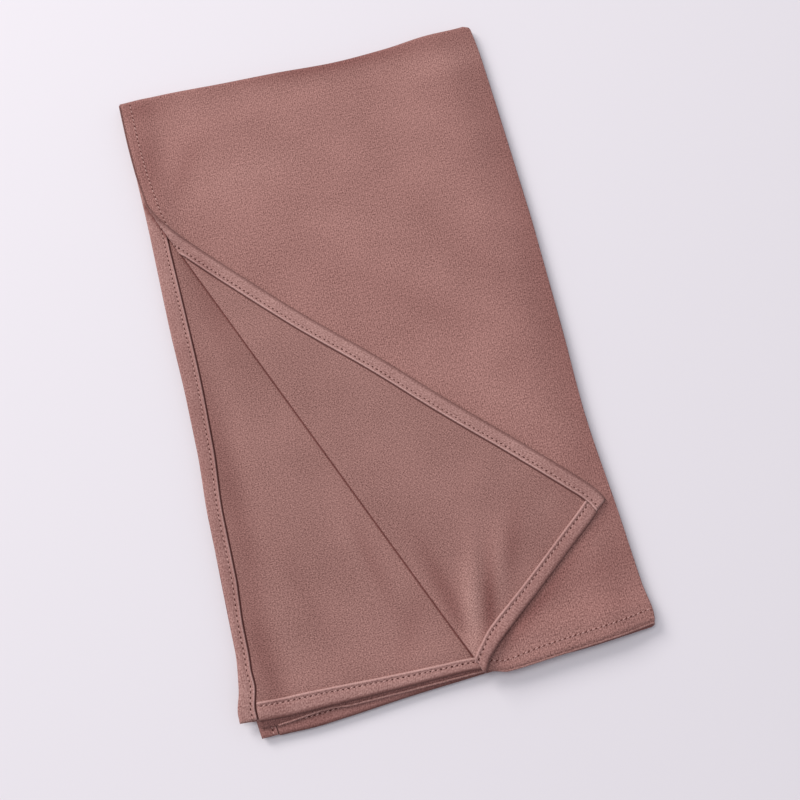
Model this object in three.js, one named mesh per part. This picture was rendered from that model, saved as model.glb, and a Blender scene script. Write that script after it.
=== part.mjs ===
// A jersey headscarf folded flat into eight layers, with one corner of the top layer turned back.
// Millimetres, +Z up. The fold lies on its hidden layers at z = 0, its long side runs along +Y, and
// "near" is the end at -Y, "far" the end at +Y. The origin is the middle of the whole outline.

import * as THREE from 'three';

// Driving sizes
const wall = 1.0;            // one layer of cloth
const gap = 0.3;             // between neighbouring layers
const step = wall + gap;     // from one layer to the next
const hiddenHeight = 4.6;    // the four hidden layers together
const hemWidth = 10.5;
const hemInset = 0.2;        // from the folded edge to the hem laid on it
const seamReach = 6;         // from the crease to where the top layer takes over from the turned corner
const wrapAngle = 135;       // how far the top layer goes round the far fold, in degrees
const loose = 0.2;           // more room where grids run across each other
const tightBend = 0.65;      // middle radius of a bend round nothing but the gap

// The crease of the turned corner, from the left edge to the near edge
const creaseStart = new THREE.Vector2(-130.2, 143.7);
const creaseEnd = new THREE.Vector2(21.4, -234.25);
const creaseLength = creaseStart.distanceTo(creaseEnd);
const alongCrease = creaseEnd.clone().sub(creaseStart).divideScalar(creaseLength);
const acrossCrease = new THREE.Vector2(-alongCrease.y, alongCrease.x);

// Outlines. at is the place along an edge, out is where the edge lies there.
const topLeft = [
  { at: 143, out: -130.9 }, { at: 156, out: -133.6 }, { at: 178, out: -135.5 },
  { at: 210, out: -136.9 }, { at: 240, out: -137.2 },
];
const topRight = [
  { at: -233, out: 137.8 }, { at: -222, out: 141 }, { at: -205, out: 140 }, { at: -155, out: 139.3 },
  { at: -83, out: 137 }, { at: -17, out: 139.4 }, { at: 40, out: 140.9 }, { at: 80, out: 141.75 },
  { at: 125, out: 141.75 }, { at: 212, out: 141.2 }, { at: 240, out: 139.6 },
];
const topNear = [
  { at: 21, out: -234.3 }, { at: 37, out: -237.2 }, { at: 72, out: -235.6 }, { at: 117, out: -233.3 },
  { at: 138, out: -231 },
];
const topFar = [
  { at: -137, out: 238.9 }, { at: -106, out: 239.4 }, { at: -58, out: 237.8 }, { at: -18, out: 236.8 },
  { at: 30, out: 234.6 }, { at: 70, out: 236.4 }, { at: 104, out: 240.25 }, { at: 134, out: 240.25 },
  { at: 142, out: 236 },
];
const secondLeft = [
  { at: -240, out: -141.75 }, { at: -222, out: -141.75 }, { at: -206, out: -138 },
  { at: -182, out: -135.3 }, { at: -146, out: -134.7 }, { at: -90, out: -134.8 }, { at: -40, out: -132.9 },
  { at: -4, out: -132.9 }, { at: 57, out: -134.3 }, { at: 126, out: -134.5 }, { at: 175, out: -135.5 },
  { at: 240, out: -136.6 },
];
const secondNear = [
  { at: -141, out: -227 }, { at: -131, out: -228 }, { at: -105, out: -229.6 }, { at: -80, out: -229.8 },
  { at: -41, out: -230.3 }, { at: 4, out: -230.4 }, { at: 30, out: -232.4 }, { at: 80, out: -235.4 },
  { at: 139, out: -232.6 },
];
const thirdLeft = [
  { at: -234, out: -129.8 }, { at: -226, out: -130.8 }, { at: -213, out: -134.6 },
  { at: -200, out: -136.2 }, { at: -182, out: -136.2 }, { at: -90, out: -135.4 }, { at: -40, out: -133.5 },
  { at: -4, out: -133.6 }, { at: 57, out: -135 }, { at: 126, out: -135.2 }, { at: 175, out: -136.2 },
  { at: 240, out: -137.4 },
];
const thirdNear = [
  { at: -136, out: -232.5 }, { at: -120, out: -233.7 }, { at: -84, out: -231.6 }, { at: -68, out: -233.1 },
  { at: 10, out: -233.5 }, { at: 60, out: -233 }, { at: 139, out: -231 },
];
const fourthLeft = [
  { at: -240, out: -130.1 }, { at: -228, out: -131.4 }, { at: -182, out: -134.5 }, { at: -90, out: -134.4 },
  { at: -40, out: -132.8 }, { at: -4, out: -132.8 }, { at: 57, out: -134.4 }, { at: 126, out: -134.8 },
  { at: 240, out: -136.4 },
];
const fourthNear = [
  { at: -130, out: -239.6 }, { at: -119, out: -239.6 }, { at: -96, out: -240.25 }, { at: -72, out: -239.2 },
  { at: -30, out: -236.6 }, { at: 23, out: -234.4 }, { at: 60, out: -232 }, { at: 139, out: -230 },
];
const hiddenLeft = [
  { at: -232, out: -134.5 }, { at: -215, out: -138 }, { at: -182, out: -136.8 }, { at: -90, out: -135.6 },
  { at: -40, out: -133.2 }, { at: -4, out: -133.4 }, { at: 57, out: -135 }, { at: 126, out: -135.4 },
  { at: 175, out: -136.6 }, { at: 240, out: -138 },
];
const hiddenNear = [
  { at: -139, out: -225 }, { at: -128, out: -229 }, { at: -60, out: -233 }, { at: 139, out: -228.5 },
];

// The turned corner's free edge: at is the length along the crease, out how far the cloth goes on past
// the middle of the bend. Below zero it ends before it.
const turnedSide = [
  { at: -22, out: -5.6 }, { at: -12, out: -2.9 }, { at: 0, out: 0.3 }, { at: 14.5, out: 3 },
  { at: 24.6, out: 6 }, { at: 33.6, out: 9 }, { at: 45.4, out: 13 }, { at: 75.3, out: 23.7 },
  { at: 129.1, out: 44.2 }, { at: 195.2, out: 72.4 }, { at: 237.9, out: 88.9 }, { at: 308.6, out: 118.3 },
  { at: 346.9, out: 133.1 }, { at: 365.6, out: 136.6 },
];
const turnedEnd = [
  { at: 365.6, out: 136.6 }, { at: 366.6, out: 129 }, { at: 369.2, out: 121.4 }, { at: 373.4, out: 107 },
  { at: 387.1, out: 57.3 }, { at: 393.1, out: 29.6 }, { at: 397.6, out: 17.2 }, { at: 401.5, out: 9 },
  { at: 407.2, out: 0.3 }, { at: 409, out: -5.1 },
];
// The bend's middle radius along the crease, and how far from the bend the flap stays lifted by it
const bendRadius = [
  { at: -20, out: 2.6 }, { at: 6, out: 2.6 }, { at: 40, out: 1.5 }, { at: 90, out: tightBend },
  { at: 345, out: tightBend }, { at: 390, out: 1.7 }, { at: 409, out: 2.3 },
];
const bendSpread = [{ at: 0, out: 9 }, { at: 60, out: 16 }, { at: 340, out: 20 }, { at: 400, out: 34 }];

// Soft swells and hollows that every layer follows
const swells = [
  { x: 12, y: 220, long: 66, wide: 15, turn: -2, lift: -0.5 },
  { x: -78, y: 186, long: 40, wide: 26, turn: 12, lift: 0.5 },
  { x: 70, y: 140, long: 56, wide: 24, turn: -8, lift: -0.5 },
  { x: 58, y: 52, long: 60, wide: 26, turn: -10, lift: 0.5 },
  { x: -84, y: -60, long: 70, wide: 22, turn: 96, lift: 0.6 },
  { x: -70, y: -170, long: 44, wide: 22, turn: 74, lift: -0.5 },
];
// Two soft ridges on the turned corner, rising from its near end
const ridges = [
  { x: 27, y: -172, long: 32, wide: 8, turn: 78, lift: 1.5 },
  { x: 52, y: -158, long: 26, wide: 8, turn: 72, lift: 1 },
];

// Bands where a height changes, from their start to where the change is whole
const bands = {
  rightSink: { from: 104, whole: 142 },
  nearSink: { from: -212, whole: -236 },
  leftSink: { from: -118, whole: -138 },
  fourthNearHem: { from: -203, whole: -219 },
  fourthLeftHem: { from: -107, whole: -119 },
  fourthLeftHemEnd: { from: -180, whole: -200 },
  secondNearHem: { from: -205, whole: -221 },
  secondLeftHem: { from: -110, whole: -124 },
};
const sinkShare = { right: 0.26, near: 0.3, left: 0.12 };   // of the hidden layers' height
const turnLift = { lift: 1.5, wide: 18 };

// Grid lines that all layers share, so that their faces lie parallel
const linesX = [-124, -109, -80, -45, -10, 25, 60, 95, 118, 134];
const linesY = [-221, -212, -203, -180, -145, -105, -65, -25, 15, 55, 95, 130, 165, 190, 212, 226];
const bunch = 1;             // least distance between lines where an edge pushes them together

// Value of a table at a place, on a smooth line that doesn't pass beyond its rows
function follow(rows, at) {
  const last = rows.length - 1;
  if (at <= rows[0].at) return rows[0].out;
  if (at >= rows[last].at) return rows[last].out;
  let i = 0;
  while (at > rows[i + 1].at) i += 1;
  const slope = (k) => (rows[k + 1].out - rows[k].out) / (rows[k + 1].at - rows[k].at);
  const lean = (k) => {
    if (k === 0) return slope(0);
    if (k === last) return slope(last - 1);
    const before = slope(k - 1);
    const after = slope(k);
    return before * after <= 0 ? 0 : (2 * before * after) / (before + after);
  };
  const span = rows[i + 1].at - rows[i].at;
  const t = (at - rows[i].at) / span;
  const blend = t * t * (3 - 2 * t);
  const bow = t * (1 - t) * span;
  return THREE.MathUtils.lerp(rows[i].out, rows[i + 1].out, blend)
    + bow * ((1 - t) * lean(i) - t * lean(i + 1));
}

// 0 at the start of a band, 1 where its change is whole, with soft ends
function within({ from, whole }, at) {
  const t = THREE.MathUtils.clamp((at - from) / (whole - from), 0, 1);
  return t * t * (3 - 2 * t);
}

// Height that a list of long soft bumps adds at x, y
function bumps(rows, x, y) {
  let sum = 0;
  for (const row of rows) {
    const turn = THREE.MathUtils.degToRad(row.turn);
    const along = (x - row.x) * Math.cos(turn) + (y - row.y) * Math.sin(turn);
    const across = (y - row.y) * Math.cos(turn) - (x - row.x) * Math.sin(turn);
    sum += row.lift * Math.exp(-((along / row.long) ** 2) - (across / row.wide) ** 2);
  }
  return sum;
}

// The hidden layers sink towards the folded right edge and towards both outer ends
function hiddenTop(x, y) {
  const right = 1 - sinkShare.right * within(bands.rightSink, x);
  const near = 1 - sinkShare.near * within(bands.nearSink, y);
  const left = 1 - sinkShare.left * within(bands.leftSink, x);
  return hiddenHeight * right * near * left + bumps(swells, x, y);
}

// The fourth layer's hems lift what lies on them: along the near edge and up the left one
function liftOverFourth(x, y) {
  const near = within(bands.fourthNearHem, y);
  const left = within(bands.fourthLeftHem, x) * within(bands.fourthLeftHemEnd, y);
  return step * (1 - (1 - near) * (1 - left));
}

// The second layer's hems lift the top layer, along the left edge and the near one
function liftOverSecond(x, y) {
  const near = within(bands.secondNearHem, y);
  const left = within(bands.secondLeftHem, x);
  return step * (1 - (1 - near) * (1 - left));
}

// The top layer stands off the second where its left edge begins to turn
function liftAtTurn(x, y) {
  const away = Math.hypot(x - creaseStart.x, y - creaseStart.y);
  return turnLift.lift * Math.exp(-((away / turnLift.wide) ** 2));
}

const fourthMiddle = (x, y) => hiddenTop(x, y) + gap + wall / 2;
const thirdMiddle = (x, y) => fourthMiddle(x, y) + step + liftOverFourth(x, y);
const secondMiddle = (x, y) => thirdMiddle(x, y) + step;
const topMiddle = (x, y) => secondMiddle(x, y) + step + liftOverSecond(x, y) + liftAtTurn(x, y);

// A point of the turned corner: t along the crease, reach past the middle of the bend, and the face
// that points out, which is the lower one before the bend and the upper one after it
function turnedPoint(t, reach) {
  const radius = follow(bendRadius, t);
  const half = (Math.PI / 2) * radius;
  const place = (away) => new THREE.Vector2().copy(creaseStart)
    .addScaledVector(alongCrease, t).addScaledVector(acrossCrease, away);
  if (reach <= -half) {
    const p = place(radius - half - reach);
    return { middle: new THREE.Vector3(p.x, p.y, topMiddle(p.x, p.y)), out: new THREE.Vector3(0, 0, -1) };
  }
  if (reach < half) {
    const angle = (reach + half) / radius;
    const foot = place(radius);
    const p = place(radius * (1 - Math.sin(angle)));
    const z = topMiddle(foot.x, foot.y) + radius * (1 - Math.cos(angle));
    const out = new THREE.Vector3(
      -acrossCrease.x * Math.sin(angle), -acrossCrease.y * Math.sin(angle), -Math.cos(angle),
    );
    return { middle: new THREE.Vector3(p.x, p.y, z), out };
  }
  const p = place(radius + reach - half);
  const lifted = (2 * radius - step) * Math.exp(-(((reach - half) / follow(bendSpread, t)) ** 2));
  const room = loose * within({ from: half, whole: half + 3 * wall }, reach);
  const z = topMiddle(p.x, p.y) + step + lifted + room + bumps(ridges, p.x, p.y);
  return { middle: new THREE.Vector3(p.x, p.y, z), out: new THREE.Vector3(0, 0, 1) };
}

// Where the top layer begins at the crease, for one y
function seamX(y) {
  let away = seamReach;
  let t = 0;
  for (let pass = 0; pass < 4; pass += 1) {
    t = (y - creaseStart.y - away * acrossCrease.y) / alongCrease.y;
    away = seamReach + gap - (Math.PI / 2 - 1) * follow(bendRadius, t);
  }
  return creaseStart.x + t * alongCrease.x + away * acrossCrease.x;
}

// A closed wall from a grid of middle points, each with the direction of its outer face
function wallGeometry(grid, thickness = wall) {
  const rows = grid.length;
  const columns = grid[0].length;
  const positions = [];
  for (const side of [0.5, -0.5]) {
    for (const row of grid) {
      for (const { middle, out } of row) {
        const p = middle.clone().addScaledVector(out, side * thickness);
        positions.push(p.x, p.y, p.z);
      }
    }
  }
  const index = [];
  const under = rows * columns;
  const at = (j, i) => j * columns + i;
  for (let j = 0; j + 1 < rows; j += 1) {
    for (let i = 0; i + 1 < columns; i += 1) {
      const [a, b, c, d] = [at(j, i), at(j, i + 1), at(j + 1, i + 1), at(j + 1, i)];
      index.push(a, b, c, a, c, d);
      index.push(under + a, under + c, under + b, under + a, under + d, under + c);
    }
  }
  const rim = rimOf(rows, columns);
  rim.forEach(([j, i], k) => {
    const [nextJ, nextI] = rim[(k + 1) % rim.length];
    const [a, b] = [at(j, i), at(nextJ, nextI)];
    index.push(a, under + a, under + b, a, under + b, b);
  });
  return closedGeometry(positions, index);
}

// The grid places round the edge of a grid, anticlockwise
function rimOf(rows, columns) {
  const rim = [];
  for (let i = 0; i < columns - 1; i += 1) rim.push([0, i]);
  for (let j = 0; j < rows - 1; j += 1) rim.push([j, columns - 1]);
  for (let i = columns - 1; i > 0; i -= 1) rim.push([rows - 1, i]);
  for (let j = rows - 1; j > 0; j -= 1) rim.push([j, 0]);
  return rim;
}

// A geometry whose faces point out: they are turned round where the enclosed volume comes out negative
function closedGeometry(positions, index) {
  const geometry = new THREE.BufferGeometry();
  geometry.setAttribute('position', new THREE.Float32BufferAttribute(positions, 3));
  const corner = (k) => new THREE.Vector3().fromArray(positions, 3 * index[k]);
  let volume = 0;
  for (let k = 0; k < index.length; k += 3) volume += corner(k).dot(corner(k + 1).cross(corner(k + 2)));
  if (volume < 0) index.reverse();
  geometry.setIndex(index);
  geometry.computeVertexNormals();
  return geometry;
}

// Grid lines between two edges: each keeps its place unless an edge pushes it along
function lineAt(lines, k, low, high) {
  const last = lines.length + 1;
  if (k === 0) return low;
  if (k === last) return high;
  return Math.min(Math.max(lines[k - 1], low + k * bunch), high - (last - k) * bunch);
}

// A grid over an area with four edges. The edges depend on each other, so each point is found in a
// few passes.
function areaGrid({ left, right, near, far, height, xs = linesX, ys = linesY }) {
  const grid = [];
  for (let j = 0; j < ys.length + 2; j += 1) {
    const row = [];
    for (let i = 0; i < xs.length + 2; i += 1) {
      let x = i === 0 ? left(0) : right(0);
      let y = 0;
      for (let pass = 0; pass < 6; pass += 1) {
        y = lineAt(ys, j, near(x), far(x));
        x = lineAt(xs, i, left(y), right(y));
      }
      row.push({ middle: new THREE.Vector3(x, y, height(x, y)), out: new THREE.Vector3(0, 0, 1) });
    }
    grid.push(row);
  }
  return grid;
}

// Rolls the right edge of a grid round and down to the level of the layer below, where a short arm
// runs back in
function rollRight(grid, lower, rightEdge) {
  const turns = [30, 60, 90, 120, 150, 180];
  return grid.map((row) => {
    const { middle } = row[row.length - 1];
    const floor = lower(middle.x, middle.y);
    const radius = (middle.z - floor) / 2;
    const centreX = rightEdge(middle.y) - wall / 2 - radius;
    const rolled = turns.map((degrees) => {
      const a = THREE.MathUtils.degToRad(degrees);
      const z = middle.z - radius * (1 - Math.cos(a));
      return {
        middle: new THREE.Vector3(centreX + radius * Math.sin(a), middle.y, z),
        out: new THREE.Vector3(Math.sin(a), 0, Math.cos(a)),
      };
    });
    const arm = { middle: new THREE.Vector3(middle.x, middle.y, floor), out: new THREE.Vector3(0, 0, -1) };
    return [...row, ...rolled, arm];
  });
}

// Carries the last row of a rolled grid round the far fold. There the right edge has half its roll.
function wrapFar(grid, flatColumns, radiusAt, rightEdge) {
  const last = grid[grid.length - 1];
  const flatEnd = last[flatColumns - 1].middle;
  const rolls = last.length - flatColumns;
  const rollRadius = (flatEnd.z - last[last.length - 1].middle.z) / 2;
  const centreX = rightEdge(flatEnd.y) - wall / 2 - rollRadius;
  const columns = last.map(({ middle }, i) => {
    if (i < flatColumns) return { x: middle.x, y: middle.y, z: middle.z, roll: 0, depth: 0 };
    const roll = (Math.PI / 2) * ((i - flatColumns + 1) / rolls);
    const x = centreX + rollRadius * Math.sin(roll);
    return { x, y: flatEnd.y, z: flatEnd.z, roll, depth: rollRadius * (1 - Math.cos(roll)) };
  });
  return [22.5, 45, 67.5, 90, 112.5, wrapAngle].map((degrees) => {
    const a = THREE.MathUtils.degToRad(degrees);
    return columns.map(({ x, y, z, roll, depth }) => {
      const radius = radiusAt(Math.min(x, flatEnd.x));
      const reach = radius - depth;
      return {
        middle: new THREE.Vector3(x, y + reach * Math.sin(a), z - radius + reach * Math.cos(a)),
        out: new THREE.Vector3(Math.sin(roll), Math.cos(roll) * Math.sin(a), Math.cos(roll) * Math.cos(a)),
      };
    });
  });
}

// Evenly spaced shares from 0 to 1
const shares = (count) => Array.from({ length: count + 1 }, (_, k) => k / count);

const group = new THREE.Group();

function addPiece(name, geometry, colour) {
  const material = new THREE.MeshStandardMaterial({ color: colour, roughness: 0.95, metalness: 0 });
  const mesh = new THREE.Mesh(geometry, material);
  mesh.name = name;
  group.add(mesh);
}

const faceColour = '#a3766e';
const backColour = '#9a706c';
const hemColour = '#a87d79';

// Hidden layers: two folds at the right, four hemmed edges at the left, one fold at each end. up is a
// share of the height, the others are how far each side is drawn in there.
const hiddenSection = [
  { up: 0, left: 1.6, right: 2.2, near: 2.4, far: 6 },
  { up: 0.1, left: 0.4, right: 0.9, near: 1.1, far: 4.4 },
  { up: 0.2, left: 0.3, right: 0.2, near: 0.4, far: 3.4 },
  { up: 0.26, left: 1.3, right: 0, near: 0.2, far: 3.2 },
  { up: 0.34, left: 0.2, right: 0.2, near: 0, far: 3.2 },
  { up: 0.46, left: 0.1, right: 0.9, near: 0, far: 3.2 },
  { up: 0.5, left: 1.4, right: 1.9, near: 0, far: 3.2 },
  { up: 0.56, left: 0.3, right: 0.9, near: 0, far: 3.2 },
  { up: 0.68, left: 0, right: 0.2, near: 0.1, far: 3.3 },
  { up: 0.75, left: 1.2, right: 0, near: 0.3, far: 3.4 },
  { up: 0.82, left: 0.1, right: 0.2, near: 0.7, far: 3.6 },
  { up: 0.93, left: 0.3, right: 0.9, near: 1.3, far: 3.9 },
  { up: 1, left: 1.4, right: 1.9, near: 2.4, far: 4.4 },
];

function hiddenLayers() {
  const levels = hiddenSection.map((row) => areaGrid({
    left: (y) => follow(hiddenLeft, y) + row.left,
    right: (y) => follow(topRight, y) - 1.2 - row.right,
    near: (x) => follow(hiddenNear, x) + row.near,
    far: (x) => follow(topFar, x) - row.far,
    height: (x, y) => row.up * hiddenTop(x, y),
  }));
  const [rows, columns] = [linesY.length + 2, linesX.length + 2];
  const size = rows * columns;
  const positions = [];
  for (const level of levels) {
    for (const row of level) for (const { middle } of row) positions.push(middle.x, middle.y, middle.z);
  }
  const index = [];
  const at = (level, j, i) => level * size + j * columns + i;
  const top = levels.length - 1;
  for (let j = 0; j + 1 < rows; j += 1) {
    for (let i = 0; i + 1 < columns; i += 1) {
      for (const [level, flip] of [[top, false], [0, true]]) {
        const quad = [at(level, j, i), at(level, j, i + 1), at(level, j + 1, i + 1), at(level, j + 1, i)];
        if (flip) quad.reverse();
        index.push(quad[0], quad[1], quad[2], quad[0], quad[2], quad[3]);
      }
    }
  }
  const rim = rimOf(rows, columns);
  for (let level = 0; level < top; level += 1) {
    rim.forEach(([j, i], k) => {
      const [nextJ, nextI] = rim[(k + 1) % rim.length];
      const [a, b] = [at(level, j, i), at(level, nextJ, nextI)];
      index.push(a, b, b + size, a, b + size, a + size);
    });
  }
  return usedOnly(positions, index);
}

// Drops the points that no face uses
function usedOnly(positions, index) {
  const renamed = new Map();
  const kept = [];
  const newIndex = index.map((k) => {
    if (!renamed.has(k)) {
      renamed.set(k, renamed.size);
      kept.push(positions[3 * k], positions[3 * k + 1], positions[3 * k + 2]);
    }
    return renamed.get(k);
  });
  return closedGeometry(kept, newIndex);
}

const rollRoom = wall / 2 + 2.2;      // from the end of a flat part to the outside of its roll
const foldStep = 1;                   // the fold below lies this much inside the one above it
const lowestTurn = 0.8;               // height of the top layer's middle if it went right round
const farRoom = 6.4;                  // from the lower layers' ends to the outside of the far fold
const shortHemEnd = 7;                // from the short hems to the outside of the right fold
const cornerHemEnd = -201;            // the fourth layer's long hem is hidden beyond this
const secondHemEnd = 228;

function topLayer() {
  const rightEdge = (y) => follow(topRight, y);
  const radiusAt = (x) => (topMiddle(x, follow(topFar, x) - farRoom) - lowestTurn) / 2;
  const flat = areaGrid({
    left: (y) => Math.max(follow(topLeft, y), seamX(y)),
    right: (y) => rightEdge(y) - rollRoom,
    near: (x) => follow(topNear, x),
    far: (x) => follow(topFar, x) - wall / 2 - radiusAt(x),
    height: topMiddle,
  });
  const rolled = rollRight(flat, secondMiddle, rightEdge);
  return wallGeometry([...rolled, ...wrapFar(rolled, linesX.length + 2, radiusAt, rightEdge)]);
}

function secondLayer() {
  return wallGeometry(areaGrid({
    left: (y) => follow(secondLeft, y),
    right: (y) => follow(topRight, y) - rollRoom - gap,
    near: (x) => follow(secondNear, x),
    far: (x) => follow(topFar, x) - farRoom,
    height: secondMiddle,
  }));
}

function thirdLayer() {
  const rightEdge = (y) => follow(topRight, y) - foldStep;
  const flat = areaGrid({
    left: (y) => follow(thirdLeft, y),
    right: (y) => rightEdge(y) - rollRoom,
    near: (x) => follow(thirdNear, x),
    far: (x) => follow(topFar, x) - farRoom,
    height: thirdMiddle,
  });
  return wallGeometry(rollRight(flat, fourthMiddle, rightEdge));
}

function fourthLayer() {
  return wallGeometry(areaGrid({
    left: (y) => follow(fourthLeft, y),
    right: (y) => follow(topRight, y) - foldStep - rollRoom - gap,
    near: (x) => follow(fourthNear, x),
    far: (x) => follow(topFar, x) - farRoom,
    height: fourthMiddle,
  }));
}

// A long hem laid on a layer, from its near end to the place given
function sideHem(left, near, far, height) {
  return wallGeometry(areaGrid({
    left: (y) => follow(left, y) + hemInset,
    right: (y) => follow(left, y) + hemWidth,
    near: (x) => follow(near, x) + hemInset,
    far: () => far,
    height: (x, y) => height(x, y) + step,
    xs: [],
    ys: linesY.filter((y) => y < far - bunch),
  }));
}

// A short hem laid on a layer, from the long hem to the fold at the right
function endHem(left, near, height) {
  return wallGeometry(areaGrid({
    left: (y) => follow(left, y) + hemWidth + gap,
    right: (y) => follow(topRight, y) - shortHemEnd,
    near: (x) => follow(near, x) + hemInset,
    far: (x) => follow(near, x) + hemWidth,
    height: (x, y) => height(x, y) + step,
    ys: [],
  }));
}

const turnedEdge = [...turnedSide, ...turnedEnd.slice(1)];
const turnedStations = [-22, -16, -10, -4, 2, 8, 14.5, 24.6, 33.6, 45.4, 60, 75.3, 100, 129.1, 162, 195.2,
  237.9, 275, 308.6, 330, 346.9, 358, 365.6, 367.5, 370, 373.4, 377, 380, 383.5, 387.1, 390, 393.1, 397.6,
  401.5, 405,
  407.2, 409];

// The turned corner, in rows across the crease: a short arm in the plane of the top layer, the bend,
// and the cloth that lies back over the top layer
function turnedCorner() {
  return wallGeometry(turnedStations.map((t) => {
    const end = follow(turnedEdge, t);
    const half = (Math.PI / 2) * follow(bendRadius, t);
    const bent = Math.min(half, THREE.MathUtils.lerp(-seamReach, end, 0.7));
    const begin = Math.min(-half, THREE.MathUtils.lerp(-seamReach, bent, 0.3));
    const bend = shares(6).map((k) => THREE.MathUtils.lerp(begin, bent, k));
    const hemStart = Math.max(end - hemWidth, THREE.MathUtils.lerp(bent, end, 0.6));
    const flap = shares(7).slice(1).map((k) => THREE.MathUtils.lerp(bent, hemStart, k));
    return [-seamReach, ...bend, ...flap, end].map((reach) => turnedPoint(t, reach));
  }));
}

// A point of a hem that lies on the turned corner
function onTurned(t, reach, extra = 0) {
  const { middle, out } = turnedPoint(t, reach);
  return { middle: middle.addScaledVector(out, step + extra), out };
}

const clearOfBend = 1.2;
const pastBend = (t) => (Math.PI / 2) * follow(bendRadius, t) + clearOfBend;

function turnedSideHem() {
  const first = turnedSide.find((row) => row.out > pastBend(row.at) + 1);
  const stations = turnedStations.filter((t) => t >= first.at && t <= turnedEnd[0].at);
  return wallGeometry(stations.map((t) => {
    const outer = follow(turnedSide, t) - hemInset;
    const inner = Math.max(outer - hemWidth, pastBend(t));
    return shares(3).map((k) => onTurned(t, THREE.MathUtils.lerp(inner, outer, k)));
  }));
}

function turnedEndHem() {
  const endByReach = turnedEnd.map((row) => ({ at: row.out, out: row.at })).reverse();
  const slant = 1.05;        // the near edge isn't square to the crease
  const first = pastBend(creaseLength);
  const last = 123.9;        // the long hem begins there
  return wallGeometry(shares(16).map((k) => {
    const reach = THREE.MathUtils.lerp(first, last, k);
    const outer = follow(endByReach, reach) - hemInset;
    return shares(2).map((share) => onTurned(outer - hemWidth * slant * (1 - share), reach, 2 * loose));
  }));
}

addPiece('folded_layers', hiddenLayers(), faceColour);
addPiece('fourth_layer', fourthLayer(), backColour);
addPiece('fourth_side_hem', sideHem(fourthLeft, fourthNear, cornerHemEnd, fourthMiddle), hemColour);
addPiece('fourth_end_hem', endHem(fourthLeft, fourthNear, fourthMiddle), hemColour);
addPiece('third_layer', thirdLayer(), faceColour);
addPiece('second_layer', secondLayer(), backColour);
addPiece('second_side_hem', sideHem(secondLeft, secondNear, secondHemEnd, secondMiddle), hemColour);
addPiece('second_end_hem', endHem(secondLeft, secondNear, secondMiddle), hemColour);
addPiece('top_layer', topLayer(), faceColour);
addPiece('turned_corner', turnedCorner(), backColour);
addPiece('turned_side_hem', turnedSideHem(), hemColour);
addPiece('turned_end_hem', turnedEndHem(), hemColour);

export default group;
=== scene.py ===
# %% [markdown]
# # A jersey headscarf, folded flat
#
# The real thing is one long cut of soft jersey with a narrow hem all round. It is folded once across its
# width and twice along its length, so eight layers lie on each other, and one corner of the top layer is
# turned back. It could be made as a stack of slabs, but cloth shows how it was folded at every edge. So
# here one flat cut is marked, and each of its points is carried to where the folds put it.

# %% The fixed frame
import math
from bisect import bisect_right
from functools import partial

import bmesh
import bpy
from mathutils import Matrix, Vector


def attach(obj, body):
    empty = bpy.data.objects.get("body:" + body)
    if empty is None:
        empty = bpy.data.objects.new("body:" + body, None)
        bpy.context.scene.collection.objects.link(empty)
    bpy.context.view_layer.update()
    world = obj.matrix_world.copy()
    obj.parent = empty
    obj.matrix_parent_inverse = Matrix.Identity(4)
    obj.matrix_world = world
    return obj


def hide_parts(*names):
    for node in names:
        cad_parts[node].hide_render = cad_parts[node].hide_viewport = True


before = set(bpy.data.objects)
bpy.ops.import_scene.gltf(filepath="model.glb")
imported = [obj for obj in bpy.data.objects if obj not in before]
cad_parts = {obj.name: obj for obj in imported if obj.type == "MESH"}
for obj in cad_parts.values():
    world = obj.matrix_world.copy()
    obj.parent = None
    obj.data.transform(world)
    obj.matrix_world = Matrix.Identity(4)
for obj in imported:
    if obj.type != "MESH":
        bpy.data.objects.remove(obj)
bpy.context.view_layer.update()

MM = 0.001
print("solids in the frame:", len(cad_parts))

# %% [markdown]
# ## Lines and swells
#
# A folded edge is never quite straight, and a stack of cloth has soft swells. Both are kept as short
# tables of measures in millimetres. A smooth line through the rows of a table is easier to adjust than a
# drawn curve, and a swell is one long soft bump, so that a few of them make an uneven surface.


# %% Helpers for lines, bands and swells
FADED = 9  # a swell is left out past this distance, squared and in half widths


def smooth_line(rows):
    """A line through (place, value) rows that never swings past a row."""
    at, out = zip(*rows)
    slope = [(o2 - o1) / (a2 - a1) for a1, a2, o1, o2 in zip(at, at[1:], out, out[1:])]
    middle = [2 * a * b / (a + b) if a * b > 0 else 0 for a, b in zip(slope, slope[1:])]
    lean = [slope[0], *middle, slope[-1]]

    def value(place):
        if place <= at[0]:
            return out[0]
        if place >= at[-1]:
            return out[-1]
        i = bisect_right(at, place) - 1
        span = at[i + 1] - at[i]
        t = (place - at[i]) / span
        bow = span * t * (1 - t) * ((1 - t) * lean[i] - t * lean[i + 1])
        return out[i] + (out[i + 1] - out[i]) * t * t * (3 - 2 * t) + bow

    return value


def rows_of(text):
    """(place, value) rows from words such as 143:-130.9."""
    return [tuple(float(n) for n in word.split(":")) for word in text.split()]


def line(text):
    return smooth_line(rows_of(text))


def band(start, whole):
    """0 at the start of a band, 1 where its change is whole, with soft ends."""
    def share(at):
        t = min(max((at - start) / (whole - start), 0), 1)
        return t * t * (3 - 2 * t)
    return share


def bump(distance, width):
    """1 in the middle of a soft bump, and less and less away from it."""
    return math.exp(-(distance / width) ** 2)


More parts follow.
